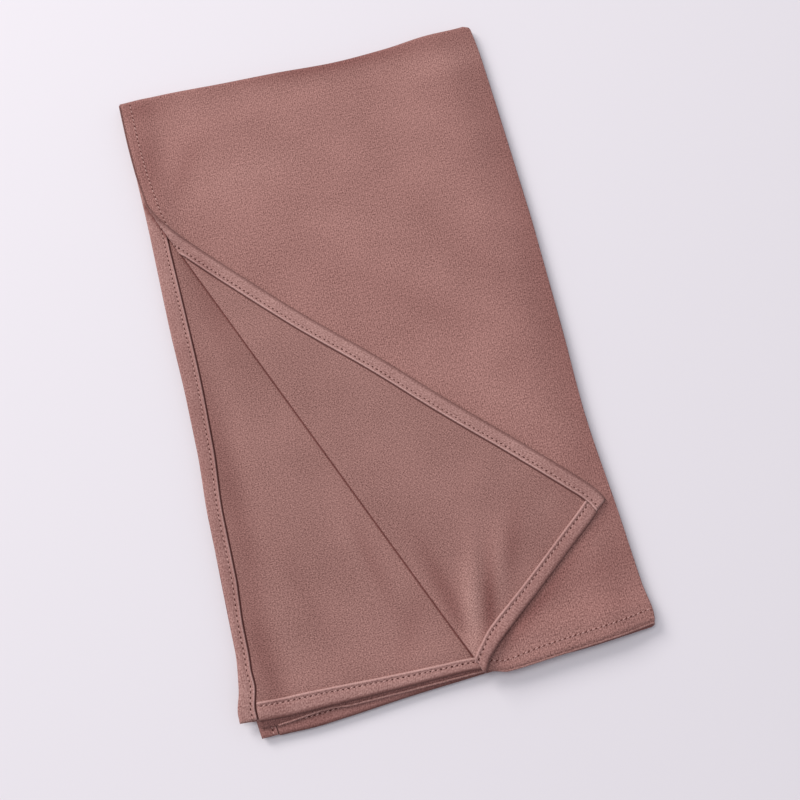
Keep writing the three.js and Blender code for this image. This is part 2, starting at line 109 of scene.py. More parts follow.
def swells(rows):
    """The height that long soft bumps add. A row is x, y, half length, half width, turn, height."""
    made = []
    for *place_and_size, turn, lift in rows:
        made.append((*place_and_size, math.cos(math.radians(turn)), math.sin(math.radians(turn)), lift))

    def height(x, y):
        total = 0
        for px, py, half_length, half_width, c, s, lift in made:
            dx, dy = x - px, y - py
            far = ((dx * c + dy * s) / half_length) ** 2 + ((dy * c - dx * s) / half_width) ** 2
            if far < FADED:
                total += lift * math.exp(-far)
        return total

    return height


def sampled(function, start, end, spacing=5):
    """The same function as a line through its values, which is much quicker to follow."""
    return smooth_line([(at, function(at)) for at in range(start, end + 1, spacing)])


def steady(value):
    """A function that gives the same value at every place."""
    return lambda place: value


def blend(a, b, share):
    return a + (b - a) * share


print("a line passes its rows:", line("0:1 5:3 9:3")(5) == 3)

# %% [markdown]
# ## The outlines
#
# Each layer's edge lies a little inside or outside the one above it, and that is what tells the eye how
# many layers there are. The edges are measured one by one, as place:value, and the crease of the turned
# corner is a straight line between two points.

# %% Edges of the layers
top_right = line(
    "-234:138.6 -230:141 -224:142 -205:140.4 -155:139.3 -83:137 -17:139.4 40:140.9 80:141.75 125:141.75 "
    "212:141.2 240:139.6")
top_far = line(
    "-137:238.9 -106:239.4 -58:237.8 -18:236.8 30:234.6 70:236.4 104:240.1 120:240.6 130:241.2 "
    "137:241.8 142:237")
second_left = line(
    "-240:-141.75 -222:-141.75 -206:-138 -182:-135.3 -146:-134.7 -90:-134.8 -40:-132.9 -4:-132.9 "
    "57:-134.3 126:-134.5 175:-135.5 240:-136.6")
second_near = line(
    "-141:-227 -131:-228 -105:-229.6 -80:-229.8 -41:-230.3 4:-230.4 30:-232.4 80:-235.4 139:-232.6")
third_left = line(
    "-234:-129.8 -226:-130.8 -213:-134.6 -200:-136.2 -182:-136.2 -90:-135.4 -40:-133.5 -4:-133.6 "
    "57:-135 126:-135.2 175:-136.2 240:-137.4")
third_near = line("-136:-232.5 -120:-233.7 -84:-231.6 -68:-233.1 10:-233.5 60:-233 139:-231")
fourth_left = line(
    "-240:-130.1 -228:-131.4 -182:-134.5 -90:-134.4 -40:-132.8 -4:-132.8 57:-134.4 126:-134.8 "
    "240:-136.4")
fourth_near = line("-130:-239.6 -119:-239.6 -96:-240.25 -72:-239.2 -30:-236.6 23:-234.4 60:-232 139:-230")
hidden_left = line(
    "-232:-134.5 -215:-138 -182:-136.8 -90:-135.6 -40:-133.2 -4:-133.4 57:-135 126:-135.4 175:-136.6 "
    "240:-138")
hidden_near = line("-139:-225 -128:-229 -60:-233 139:-228.5")

# The turned corner: its crease, and its free edges as length along the crease:reach past it. The bend has
# a radius along the crease, and the lift next to it fades out over a spread.
crease_start, crease_end = Vector((-130.2, 143.7)), Vector((21.4, -234.25))
along = (crease_end - crease_start).normalized()
across = Vector((-along.y, along.x))
turned_side = rows_of(
    "-22:-5.6 -12:-2.9 0:0.3 14.5:3 24.6:6 33.6:9 45.4:13 75.3:23.7 129.1:44.2 195.2:72.4 237.9:88.9 "
    "308.6:118.3 346.9:133.6 356:136.4 364.6:137.2")
turned_end = rows_of(
    "364.6:137.2 366.6:129 369:121.4 373:107 387:57.3 394.4:29.6 398.2:17.2 401.5:9 407.2:0.3 409:-5.1")
bend_radius = line("-20:1.7 6:1.7 40:1.2 90:0.65 345:0.65 390:1.7 409:2.3")
bend_spread = line("0:9 60:16 340:20 400:34")
top_left_rows = rows_of("178:-135.5 210:-136.9 240:-137.2")
top_near_rows = rows_of("37:-237.2 72:-235.6 117:-233.3 138:-231")
print("crease:", round((crease_end - crease_start).length), "mm long")

# %% [markdown]
# ## Heights
#
# Cloth in a stack takes its shape from what lies under it. Every layer's height is the height of the
# layer below plus one step, plus one more step where a hem lies between them. That way no layer can cut
# through another, and the hems print through to the top as they do on the real scarf.

# %% Heights of the eight layers
CLOTH = 0.5  # thickness of the jersey
STEP = 1.3  # from one layer's middle to the next
HIDDEN = 4.6  # height of the four lower layers together
LOWEST = 0.36  # height of the lowest layer's middle
FIFTH_UNDER, FOURTH_OVER = 0.5, 0.8  # how far these two layers' middles lie from the hidden height
PRESSED_RIGHT, PRESSED_NEAR, PRESSED_LEFT = 0.4, 0.3, 0.12  # shares of it that are lost at the edges
PRESSED_STEP = 0.28  # share of a step that is lost at the right fold
PRESSED_SWELLS = 0.6  # share of the broad swells that is lost there
START_LIFT, START_WIDE = 1.5, 18  # the top layer's lift where the turned corner starts

# Where the stack sinks towards its edges, and where hems lie between the layers
right_sink, near_sink, left_sink = band(108, 143), band(-212, -236), band(-118, -138)
before_far_fold = band(232, 214)
fourth_end_band, fourth_side_band, fourth_side_stop = band(-203, -219), band(-107, -119), band(-180, -200)
second_end_band, second_side_band = band(-205, -221), band(-110, -124)

# Swells of the whole stack, then of the second layer and of the turned corner alone
broad_swells = swells([
    (12, 220, 66, 15, -2, -0.5), (-78, 186, 40, 26, 12, 0.5), (70, 140, 56, 24, -8, -0.5),
    (58, 52, 60, 26, -10, 0.5), (-84, -60, 70, 22, 96, 0.6), (-70, -170, 44, 22, 74, -0.5),
])
fine_swells = swells([
    (33, 219, 64, 6, -1, -0.4), (-40, 202, 40, 7, 3, 0.3), (108, 204, 26, 8, 8, 0.3),
    (-60, 160, 44, 9, 24, 0.3), (-118, 181, 20, 7, 70, -0.35), (30, 178, 52, 9, 12, -0.25),
    (88, 128, 46, 9, 14, 0.28), (8, 92, 58, 9, -24, 0.25), (66, 30, 66, 10, -30, -0.3),
    (112, -20, 54, 9, 78, 0.25), (92, -96, 60, 9, 64, -0.25), (104, -176, 44, 9, 30, 0.25),
    (120, 92, 60, 8, 84, -0.3), (-20, 40, 50, 8, -32, -0.25),
])
second_swells = swells([
    (-117, -178, 40, 6, 97, -0.45), (-104, -176, 36, 6, 96, 0.4), (-82, -150, 44, 8, 104, -0.35),
    (-37, -143, 18, 4, 104, -0.45), (-46, -150, 24, 5, 100, 0.3), (-64, -206, 44, 7, 6, 0.35),
    (-22, -196, 36, 8, 62, -0.3), (-108, -40, 60, 6, 92, -0.4), (-96, -70, 44, 7, 98, 0.3),
    (-70, -20, 36, 8, 70, -0.25),
])
turned_ridges = swells([
    (28, -178, 30, 6, 75, 2.2), (48.5, -168, 24, 6.5, 71, 1.5), (38, -176, 22, 5, 73, -0.4),
    (8, -158, 34, 7, 107, -0.5), (74, -138, 26, 9, 60, 0.7), (-30, -20, 50, 9, 118, 0.35),
    (10, -60, 44, 9, 100, -0.3), (60, -100, 44, 9, 50, 0.4),
])

# Painted light and shade: how much lighter or darker the cloth is drawn at each place, as a share
top_tones = swells([
    (30, 234, 74, 8, -1, -0.4), (0, 243, 200, 7, 0, -0.2), (-126, 186, 40, 12, 88, -0.26),
    (-122, 230, 24, 10, 0, -0.22), (-92, 190, 30, 20, 20, -0.04), (-52, 160, 40, 14, 10, 0.1),
    (118, 214, 34, 10, 5, 0.12), (150, 120, 140, 30, 91, -0.22), (150, -80, 140, 30, 91, -0.24),
    (40, 30, 70, 14, -35, -0.07), (20, 100, 50, 12, -20, 0.05), (86, 60, 60, 12, -60, -0.05),
    (96, -190, 40, 10, 10, -0.06), (90, -60, 60, 10, -40, 0.05), (70, -226, 60, 7, 2, 0.08),
    (32, -214, 26, 10, 20, -0.24), (104, -150, 34, 10, 62, -0.1), (-100, 172, 26, 7, 60, -0.12),
    (70, -200, 60, 5, 16, -0.07), (90, -176, 50, 5, 20, 0.05), (120, -205, 30, 12, 80, -0.08),
    (79, -191, 60, 5, 38, -0.24),
])
turned_tones = swells([
    (10, -179, 38, 7, 103, -0.34), (22, -200, 34, 6, 77, 0.48), (36, -192, 28, 5, 75, -0.5),
    (49, -172, 24, 5, 76, 0.26), (-100, 91, 16, 4, -50, -0.3), (60, -160, 28, 7, 66, -0.24),
    (110, -120, 22, 12, 60, -0.14), (96, -134, 20, 8, 40, 0.1), (-100, 110, 30, 10, -20, -0.12),
    (0, -40, 60, 14, 112, 0.05), (60, -60, 70, 12, -30, -0.05), (104, -140, 60, 24, 45, -0.08),
    (-80, 96, 50, 10, -32, -0.06),
])
second_tones = swells([
    (-118, -60, 110, 10, 93, -0.26), (-119, -190, 50, 8, 96, -0.24), (-103, -170, 40, 7, 96, 0.08),
    (-34, -146, 34, 6, 104, -0.16), (-44, -130, 30, 5, 100, 0.08), (-96, 60, 60, 14, 100, -0.14),
    (-84, -150, 40, 7, 104, -0.08), (-132, -40, 160, 5, 91, -0.1), (-20, -196, 30, 8, 60, -0.12),
    (-110, 120, 24, 10, 90, -0.24), (-136, -214, 14, 5, 90, 0.12), (-104, 70, 50, 12, 96, -0.12),
])


def either(a, b):
    """Whole where one of two shares is whole."""
    return 1 - (1 - a) * (1 - b)


def heights(x, y):
    """Heights of the middles of the eight layers at a place, from the top one down."""
    right = right_sink(x)
    pressed = (1 - PRESSED_RIGHT * right) * (1 - PRESSED_NEAR * near_sink(y))
    pressed *= 1 - PRESSED_LEFT * left_sink(x)
    step = STEP * (1 - PRESSED_STEP * right)
    swell = broad_swells(x, y) * (1 - PRESSED_SWELLS * right) + fine_swells(x, y) * (1 - right)
    hidden = HIDDEN * pressed + before_far_fold(y) * swell
    fourth = hidden + FOURTH_OVER
    third = fourth + step * (1 + either(fourth_end_band(y), fourth_side_band(x) * fourth_side_stop(y)))
    second = third + step + second_swells(x, y)
    start = START_LIFT * bump(math.hypot(x - crease_start.x, y - crease_start.y), START_WIDE)
    top = second + step * (1 + either(second_end_band(y), second_side_band(x))) + start
    fifth = hidden - FIFTH_UNDER
    each = (fifth - LOWEST) / 3
    return top, second, third, fourth, fifth, fifth - each, LOWEST + each, LOWEST


print("top layer at the middle:", round(heights(0, 0)[0], 2), "mm high")

# %% [markdown]
# ## Turning the corner back
#
# The corner is turned along a straight crease. Distances along the crease and away from it stay the same
# on the cloth, so a point of the flat cut is known by those two numbers. Close to the crease it goes
# round a bend, and past it lies back over the top layer. The bend is tight in the middle and soft at both
# ends, where the cloth lifts off.

# %% The fold function of the top layer
SETTLE = 60  # how far from the crease the bend's take-up fades out


def on_crease(t, away):
    """A point from its length along the crease and its distance from it."""
    return crease_start + along * t + across * away


def top_point(x, y):
    """Where a point of the flat cut's top layer lies, and the direction that its wrong side faces."""
    from_start = Vector((x, y)) - crease_start
    t, away = from_start.dot(along), from_start.dot(across)
    radius = bend_radius(t)
    half = math.pi / 2 * radius
    if away >= half:
        p = on_crease(t, away - (half - radius) * bump(away - half, SETTLE))
        return Vector((p.x, p.y, heights(p.x, p.y)[0])), Vector((0, 0, -1))
    if away > -half:
        turn = (half - away) / radius
        foot, p = on_crease(t, radius), on_crease(t, radius * (1 - math.sin(turn)))
        z = heights(foot.x, foot.y)[0] + radius * (1 - math.cos(turn))
        return Vector((p.x, p.y, z)), Vector((*(-across * math.sin(turn)), -math.cos(turn)))
    past = -away - half
    p = on_crease(t, radius + past)
    lift = (2 * radius - STEP) * bump(past, bend_spread(t))
    z = heights(p.x, p.y)[0] + STEP + lift + turned_ridges(p.x, p.y)
    return Vector((p.x, p.y, z)), Vector((0, 0, 1))


def flat_from_turned(t, reach):
    """The flat cut's point for a place on the turned corner."""
    return on_crease(t, -reach)


def flat_from_place(x, y):
    """The flat cut's point for a place on the top layer that isn't turned."""
    from_start = Vector((x, y)) - crease_start
    t, away = from_start.dot(along), from_start.dot(across)
    radius = bend_radius(t)
    return Vector((x, y)) + across * (math.pi / 2 - 1) * radius * bump(away, SETTLE)


left_points = [flat_from_turned(*row) for row in turned_side]
left_points += [flat_from_place(x, y) for y, x in top_left_rows]
near_points = [flat_from_turned(*row) for row in turned_end]
near_points += [flat_from_place(*row) for row in top_near_rows]
cut_left = smooth_line(sorted((p.y, p.x) for p in left_points))
cut_near = smooth_line(sorted((p.x, p.y) for p in near_points))
top_left = smooth_line(top_left_rows)
print("flat corner at", [round(n, 1) for n in flat_from_turned(*turned_side[-1])])

# %% [markdown]
# ## Folding across and along
#
# Across its width the scarf is folded once, at the right edge, so that a pair of layers lies with the
# wrong sides together. Along its length the pair then goes round the far end, under itself to the near
# end, back to the far end, and out to the near end again. A mark across counts 0 to 1 over the pair's
# first layer, to 2 round the fold, and to 3 back over the second. A mark along counts 1 for each straight
# run and 1 for each bend.

# %% The fold function of the whole scarf
FIRST, SECOND = (0, 7, 4, 3), (1, 6, 5, 2)  # a pair's two layers on each run, counted from the top
FOLD_INSET = (0, 2.2, 1.6, 1)  # how far inside the top one each run's right fold lies
FAR_EASE = 1.6  # the far fold stands out this much, as it isn't pressed flat
FAR_READ, NEAR_READ = 6, 3  # how far inside these folds the stack's height is read
SHOWN_LEFT = (top_left, second_left, third_left, fourth_left)
HIDDEN_INSETS = {4: 0.5, 5: 0, 6: 0.4, 7: 1.1}  # how far inside the hidden outline each lower edge lies
WAVE = 0.5  # how far such an edge waves in and out


def layer_left(layer, y):
    if layer < len(SHOWN_LEFT):
        return SHOWN_LEFT[layer](y)
    return hidden_left(y) + HIDDEN_INSETS[layer] + WAVE * math.sin(y / (23 + 5 * layer) + layer)


def far_fold(x):
    """Where the far fold has its axis."""
    z = heights(x, top_far(x) - FAR_READ)
    return top_far(x) + FAR_EASE - (z[0] - z[7] + CLOTH) / 2


def near_fold(x):
    z = heights(x, hidden_near(x) + NEAR_READ)
    return hidden_near(x) + (z[4] - z[7] + CLOTH) / 2


def right_fold(run, y):
    """Where the right fold of a run has its axis, and its radius."""
    edge = top_right(y) - FOLD_INSET[run] - CLOTH / 2
    z = heights(edge, y)
    radius = abs(z[FIRST[run]] - z[SECOND[run]]) / 2
    return edge - radius, radius


far_centre, near_centre = sampled(far_fold, -150, 150), sampled(near_fold, -150, 150)
fold_lines = [[sampled(lambda y: right_fold(run, y)[k], -255, 255) for k in (0, 1)] for run in range(4)]


def fold_centre(run, y):
    return fold_lines[run][0](y), fold_lines[run][1](y)


def run_ends(run, x, share):
    """The y where a run starts and ends. share is 0 on the pair's first layer and 1 on its second."""
    if run == 0:
        return blend(cut_near(x), second_near(x), share), far_centre(x)
    if run == 1:
        return far_centre(x), near_centre(x)
    if run == 2:
        return near_centre(x), far_centre(x)
    return far_centre(x), blend(fourth_near(x), third_near(x), share)


def pair_x(run, mark, y, left):
    """x for a mark across, the length on the flat cut up to it, and its share of the pair's half
    thickness, from 1 down to -1."""
    centre, radius = fold_centre(run, y)
    if mark <= 1:
        x = blend(left, centre, mark)
        return x, x, 1
    if mark >= 2:
        x = blend(centre, left, mark - 2)
        return x, centre + math.pi * radius + centre - x, -1
    turn = math.pi * (mark - 1)
    return centre + radius * math.sin(turn), centre + radius * turn, math.cos(turn)


FLAT_STARTS = (0, 233, 247, 709, 713, 1175, 1179)  # where each run and bend begins on the flat cut
RUN_ROUNDS, BEND_ROUNDS = 6, 4  # x and y depend on each other, so they are worked out in rounds


def folded(across_mark, along_mark):
    """The flat cut's point for two marks, and where it lies when the scarf is folded. Even stages are
    the straight runs and odd ones the bends."""
    stage = min(int(along_mark), 6)
    share_along = along_mark - stage
    share = min(max(across_mark - 1, 0), 1)
    layers = FIRST if across_mark < 1.5 else SECOND
    run = stage // 2
    x = y = 0
    if stage % 2 == 0:
        for _ in range(RUN_ROUNDS):
            start, end = run_ends(run, x, share)
            y = blend(start, end, share_along)
            left = cut_left(y) if layers[run] == 0 else layer_left(layers[run], y)
            x, flat_x, w = pair_x(run, across_mark, y, left)
        z = heights(x, y)
        first, second = z[FIRST[run]], z[SECOND[run]]
        place = Vector((x, y, (first + second) / 2 + w * (first - second) / 2))
        path = abs(y - start) if run else y
        if stage == 2:  # the knit runs on from the far bend
            bend_end = far_centre(x) + math.pi / 4 * (z[0] + z[1] - z[6] - z[7])
            path += (1 - share_along) * (bend_end - FLAT_STARTS[2])
    else:
        centre_y = near_centre if stage == 3 else far_centre
        y = centre_y(0)
        for _ in range(BEND_ROUNDS):
            ends = [pair_x(k, across_mark, y, layer_left(layers[k], y)) for k in (run, run + 1)]
            x, flat_x, w = (blend(a, b, share_along) for a, b in zip(*ends))
            y = centre_y(x)
        z = heights(x, y)
        middles = [(z[FIRST[k]] + z[SECOND[k]]) / 2 for k in (run, run + 1)]
        half = blend(*(abs(z[FIRST[k]] - z[SECOND[k]]) / 2 for k in (run, run + 1)), share_along)
        centre_z, radius = sum(middles) / 2, abs(middles[0] - middles[1]) / 2
        turn = math.pi * share_along
        out = Vector((0, math.sin(turn), math.cos(turn)))
        if stage == 3:
            out.y = -out.y
        if middles[0] < middles[1]:
            out.z = -out.z
        side = -1 if stage == 5 else 1
        place = Vector((x, y, centre_z)) + out * (radius + side * w * half)
        path = radius * turn + (far_centre(x) - FLAT_STARTS[1] if stage == 1 else 0)
    return Vector((flat_x, FLAT_STARTS[stage] + path)), place


print("far fold's outside:", round(folded(0.5, 1.5)[1].y + CLOTH / 2, 1))

# %% [markdown]
# ## Cutting, marking and folding the cloth
#
# The scarf is one piece of jersey, so it is one grid here. Its rows lie closer together where it bends.
# It is laid out flat first, in its real size, and the crease of the turned corner is marked on it with
# plane cuts. Then every point is moved to its folded place. The flat layout stays as the UV map, so the
# knit runs along the cloth wherever it goes.

# %% One cut of jersey
ACROSS_STEPS = (70, 8, 70)  # first layer, right fold, second layer
ALONG_STEPS = (126, 10, 16, 8, 16, 8, 36)  # four runs with the bends between them
CREASE_MARKS = (0.2, 0.6, 1.1, 1.7, 2.4, 3.2, 4.1, 5, 6.5)  # cuts on both sides of the crease
CORNER_RIGHT, CORNER_FAR = 40, 200  # the crease crosses the cut left of the one and before the other
CREVICE = (-1.7, -0.9, 0.3)  # cuts beside the crease: its shade fades from the second to the first
CREVICE_TONE = -0.6  # tone of the second layer in the deep shade under the crease
CREVICE_REACH, CREVICE_ENDS = 4, (-6, 402)  # how far that shade goes under the corner and along the crease
DEEP_TONE = -0.3  # painted shade on the third layer and those below it


def marks(steps):
    """Marks that divide each stage into its number of steps."""
    return [stage + k / count for stage, count in enumerate(steps) for k in range(count)] + [len(steps)]


def grid_of(bm, columns, rows):
    """A flat grid's points in a table, by column and row."""
    bmesh.ops.create_grid(bm, x_segments=columns - 1, y_segments=rows - 1, size=0.5)
    table = {}
    for v in bm.verts:
        table[round((v.co.x + 0.5) * (columns - 1)), round((v.co.y + 0.5) * (rows - 1))] = v
    return table


def object_of(bm, name, materials):
    """Makes a named object of a finished bmesh."""
    mesh = bpy.data.meshes.new(name)
    bm.to_mesh(mesh)
    bm.free()
    for material in materials:
        mesh.materials.append(material)
    piece = bpy.data.objects.new(name, mesh)
    bpy.context.scene.collection.objects.link(piece)
    return piece


def finish_mesh(bm, name, materials, flat_of):
    """Makes an object of a bmesh, with the flat cut as its UV map."""
    layer = bm.loops.layers.uv.new("cut")
    for face in bm.faces:
        face.smooth = True
        for loop in face.loops:
            loop[layer].uv = flat_of[loop.vert] * MM
    return object_of(bm, name, materials)


def cut_with_plane(bm, faces, mark):
    """Cuts faces with an upright plane beside the crease, and returns the faces that come of them."""
    geometry = {g for f in faces if f.is_valid for g in (f, *f.edges, *f.verts)}
    spot = (*(crease_start + across * mark), 0)
    made = bmesh.ops.bisect_plane(bm, geom=list(geometry), plane_co=spot, plane_no=(*across, 0))
    return [g for g in made["geom"] if isinstance(g, bmesh.types.BMFace)]


def tone_at(place, layer, turned):
    """Painted light and shade of the cloth at a place in millimetres."""
    if layer > 1:
        return DEEP_TONE
    tones = second_tones if layer == 1 else turned_tones if turned else top_tones
    return tones(place.x, place.y)


def give_thickness(piece, **settings):
    shell = piece.modifiers.new("thickness", "SOLIDIFY")
    shell.thickness, shell.offset = CLOTH * MM, 0
    for name, value in settings.items():
        setattr(shell, name, value)


def cut_and_fold(materials):
    """The whole cut, folded. Its first material is the cloth's face and its second the wrong side."""
    across_marks, along_marks = marks(ACROSS_STEPS), marks(ALONG_STEPS)
    bm = bmesh.new()
    tone, flat = bm.verts.layers.float.new("tone"), bm.verts.layers.float_vector.new("flat")
    table = grid_of(bm, len(across_marks), len(along_marks))
    place_of = {}
    for (i, j), v in table.items():
        cut_point, place = folded(across_marks[i], along_marks[j])
        if across_marks[i] > 1 or along_marks[j] > 1:
            place_of[v] = place
        # The tone is painted light and shade
        v[tone] = tone_at(place, 2 if along_marks[j] > 1.5 else int(across_marks[i] > 1.5), False)
        v.co = (*cut_point, 0)
    second = {v for (i, j), v in table.items() if across_marks[i] >= 2 and along_marks[j] < 1}
    second_faces = {f for f in bm.faces if all(v in second for v in f.verts)}
    near_crease = [f for f in bm.faces if all(v.co.x < CORNER_RIGHT and v.co.y < CORNER_FAR for v in f.verts)]
    for mark in [side * m for m in CREASE_MARKS for side in (-1, 1)]:
        near_crease = cut_with_plane(bm, near_crease, mark)
    for v in bm.verts:
        v[flat] = v.co
    for v in bm.verts:
        if v not in place_of:
            place_of[v], wrong = top_point(*v[flat].xy)
            v[tone] = tone_at(place_of[v], 0, wrong.z > 0)
        v.co = place_of[v]
    bare = [f for f in bm.faces if f in second_faces]
    for mark in CREVICE:
        bare = cut_with_plane(bm, bare, mark)
    for v in {v for f in bare for v in f.verts}:
        from_start = v.co.xy - crease_start
        under = CREVICE[1] - 0.1 < from_start.dot(across) < CREVICE_REACH
        if under and CREVICE_ENDS[0] < from_start.dot(along) < CREVICE_ENDS[1]:
            v[tone] = CREVICE_TONE
    bmesh.ops.scale(bm, vec=(MM, MM, MM), verts=bm.verts)
    flat_of = {v: v[flat].xy for v in bm.verts}
    piece = finish_mesh(bm, "scarf_cloth", materials, flat_of)
    give_thickness(piece, material_offset=1, material_offset_rim=0)  # the wrong side has the second one
    return piece

# %% [markdown]
# ## Hems
#
# A hem is the cloth's edge turned onto its wrong side and sewn down. Seen from the wrong side it is a
# narrow raised band with a fold at its outer edge and a second fold inside, where the raw edge is tucked
# in. It is a strip with a fixed cross-section here, which follows the cloth's own fold function and
# stands off it on the wrong side. So it goes round the turned corner and round the right fold by itself.

# %% The hem's cross-section and its way round the cloth
# Distance in from the cut's edge, height over the cloth's middle. The last rows are a thin foot on the
# cloth, which carries painted shade along the inner fold.
HEM_SECTION = (
    (0.5, -0.72), (0, -0.7), (-0.4, -0.4), (-0.5, 0.15), (-0.3, 0.7), (0.5, 0.98), (2.2, 1.06),
    (4.2, 1.12), (5.8, 1.04), (7.0, 0.84), (7.8, 0.62), (8.5, 0.7), (9.1, 1.04), (9.7, 1.26),
    (10.2, 1.16), (10.5, 0.8), (10.6, 0.4), (10.7, 0.08), (11.15, 0.05), (11.6, 0.04), (11.7, -0.06),
)
FLAT_EDGE = -0.15  # as low as the outer fold goes where the cloth's face is up
FOOT = 10.7  # where the foot begins
HEM_WIDTH = 10.6  # of the hem in the section, from the cut's edge to its inner fold
STITCH_IN = 7.8  # the seam's distance from the cut's edge in the section
PITCH = 3.65  # from one stitch to the next
corner_y = cut_near(cut_left(-240)) + 0.3  # where the long hem of the turned corner ends
NEAR_GUESS = -230  # where the near edge is first looked for
TIGHTEST = 0.2  # radius that a hem has at least where it goes round the right fold
BESIDE, APART = 4000, 600  # hems that aren't on the top layer have their own knit


def near_edge_point(run, mark, inward, lift):
    """A point over the cloth's near end: a mark across, a distance in from the edge, and a height over
    the wrong side. Run 0 is the top pair and run 3 the pair below it."""
    share = min(max(mark - 1, 0), 1)
    layers = FIRST if mark < 1.5 else SECOND
    x, y = 0, NEAR_GUESS
    for _ in range(RUN_ROUNDS):
        start = run_ends(0, x, share)[0] if run == 0 else run_ends(3, x, share)[1]
        y = start + inward
        left = cut_left(y) if layers[run] == 0 else layer_left(layers[run], y)
        x, flat_x, w = pair_x(run, mark, y, left)
    flat = Vector((flat_x, y if run == 0 else y - BESIDE))
    if run == 0 and mark <= 1:
        place, wrong = top_point(x, y)
        return flat, place + wrong * lift, wrong
    centre, radius = fold_centre(run, y)
    z = heights(x, y)
    first, second = z[FIRST[run]], z[SECOND[run]]
    if 1 < mark < 2:
        turn = math.pi * (mark - 1)
        up = 1 if first > second else -1
        wrong = Vector((-math.sin(turn), 0, -up * math.cos(turn)))
        reach = max(radius - lift, TIGHTEST)
        middle = (first + second) / 2
        return flat, Vector((centre, y, middle)) - wrong * reach, wrong
    here, other = (first, second) if mark <= 1 else (second, first)
    wrong = Vector((0, 0, 1 if other > here else -1))
    return flat, Vector((x, y, here)) + wrong * lift, wrong


FAR_BEND = 4.4  # radius of the top layer's bend at the far end, where the long hem goes round it
RAISED, FOOT_HEIGHT = 0.7, 0.1  # the end of the turned long hem rises so far, but not its foot
long_end, raised_end, raised_in = band(corner_y + 16, corner_y), band(corner_y + 9, corner_y), band(2, 8)


def side_edge_point(layer, y, inward, lift):
    """A point over a layer's left edge: y on the flat cut, a distance in, a height over the wrong side."""
    if layer == 0:
        x = cut_left(y) + inward
        y += long_end(y) * (cut_near(x) - cut_near(x - inward))
        place, wrong = top_point(x, y)
        over = y - far_centre(x)
        if over > 0:
            turn = over / FAR_BEND
            wrong = Vector((0, -math.sin(turn), -math.cos(turn)))
            place += Vector((0, FAR_BEND * math.sin(turn) - over, FAR_BEND * (math.cos(turn) - 1)))
        raised = RAISED * raised_end(y) * raised_in(inward) if lift > FOOT_HEIGHT else 0
        return Vector((x, y)), place + wrong * (lift + raised), wrong
    x = layer_left(layer, y) + inward
    wrong = Vector((0, 0, 1))
    return Vector((-x - APART * layer, y)), Vector((x, y, heights(x, y)[layer])) + wrong * lift, wrong


widened = band(0.5, 6)  # the part of the section that a wider hem stretches


def across_hem(inward, width):
    """A section's distance in, on a hem of another width. The outer fold and the seam keep their shapes."""
    return inward + (width - HEM_WIDTH) * widened(inward)


UNEVEN = ((0.5, 5.3), (0.3, 2.9), (0.4, 11))  # height and length of the waves that make a hem uneven


def unevenness(at, seed):
    """Three waves of unlike lengths, which together don't repeat along a hem."""
    starts = (seed, 2 * seed, seed * seed)
    return sum(height * math.sin(at / length + start) for (height, length), start in zip(UNEVEN, starts))


PUFFS = ((4.2, 3.2, 1), (9.7, 0.7, 0.8))  # middle, width and share of the body's and the inner fold's puff
PUFF = 0.2  # how far the waves lift them
PULL_WIDE, PULL = 1.3, 0.16  # width and depth of the dent at a stitch


def hem_lift(at, inward, lift, full, seed):
    """The height of a hem's surface at a length along it. The seam pulls it down at each stitch."""
    puff = sum(share * bump(inward - middle, width) for middle, width, share in PUFFS)
    pull = bump(inward - STITCH_IN, PULL_WIDE) * (0.5 + 0.5 * math.cos(2 * math.pi * at / PITCH))
    return full * (lift + PUFF * puff * unevenness(at, seed) - PULL * pull)


beside_crease, past_crease = band(-3, -1.2), band(3, 1)
before_start, after_start = band(-14, -6), band(44, 30)


def under_crease(place):
    """How deep in shade a place on the second layer lies, close to the crease's upper end."""
    from_start = place.xy - crease_start
    t, away = from_start.dot(along), from_start.dot(across)
    return beside_crease(away) * past_crease(away) * before_start(t) * after_start(t)


TONE_UNEVEN = 0.05  # how much of a hem's unevenness is seen in its tone
UNDER_CREASE = 0.55  # how much darker the second layer's hem is in the shade of the crease
foot_share, rim_share = band(FOOT - 0.35, FOOT - 0.1), band(1.1, 0.2)


def hem_strip(name, layer, point, stations, full, width, rim, foot, hem_painted_tone, seed, material):
    """A hem from its point function. Stations are (place, length along the hem). rim and foot give the
    painted shade on its outer fold and on the cloth along its inner fold, and the tone after them is
    painted light and shade along the hem."""
    bm = bmesh.new()
    inward_of, foot_of, tone = (bm.verts.layers.float.new(word) for word in ("inward", "foot", "tone"))
    table = grid_of(bm, len(HEM_SECTION), len(stations))
    flat_of = {}
    for (i, j), v in table.items():
        inward, lift = HEM_SECTION[i]
        at, length = stations[j]
        if lift > FLAT_EDGE:
            lift = hem_lift(length, inward, lift, full(at), seed)
        elif point(at, 1, 0)[2].z < 0.5:  # the wrong side doesn't face up here
            lift = FLAT_EDGE
        kept = min(inward, FOOT) + max(inward - FOOT, 0) * foot
        flat_of[v], place, wrong = point(at, across_hem(kept, width(at)), lift)
        v.co = place * MM
        # The tone is painted light and shade: that of the cloth under the hem, the hem's own, less the shade
        # under the crease
        below = tone_at(place, layer, layer == 0 and wrong.z > 0)
        shade = UNDER_CREASE * under_crease(place) if layer == 1 else 0
        v[tone] = below + TONE_UNEVEN * unevenness(length * 0.8, seed + 2) + hem_painted_tone(at) - shade
        v[inward_of] = inward
        v[foot_of] = foot * foot_share(inward) + rim(at) * rim_share(inward)
    bmesh.ops.recalc_face_normals(bm, faces=bm.faces)
    piece = finish_mesh(bm, name, [material], flat_of)
    give_thickness(piece)
    return piece


SEAM_UP = 0.7  # the seam's height over the cloth, where lengths along a hem are measured


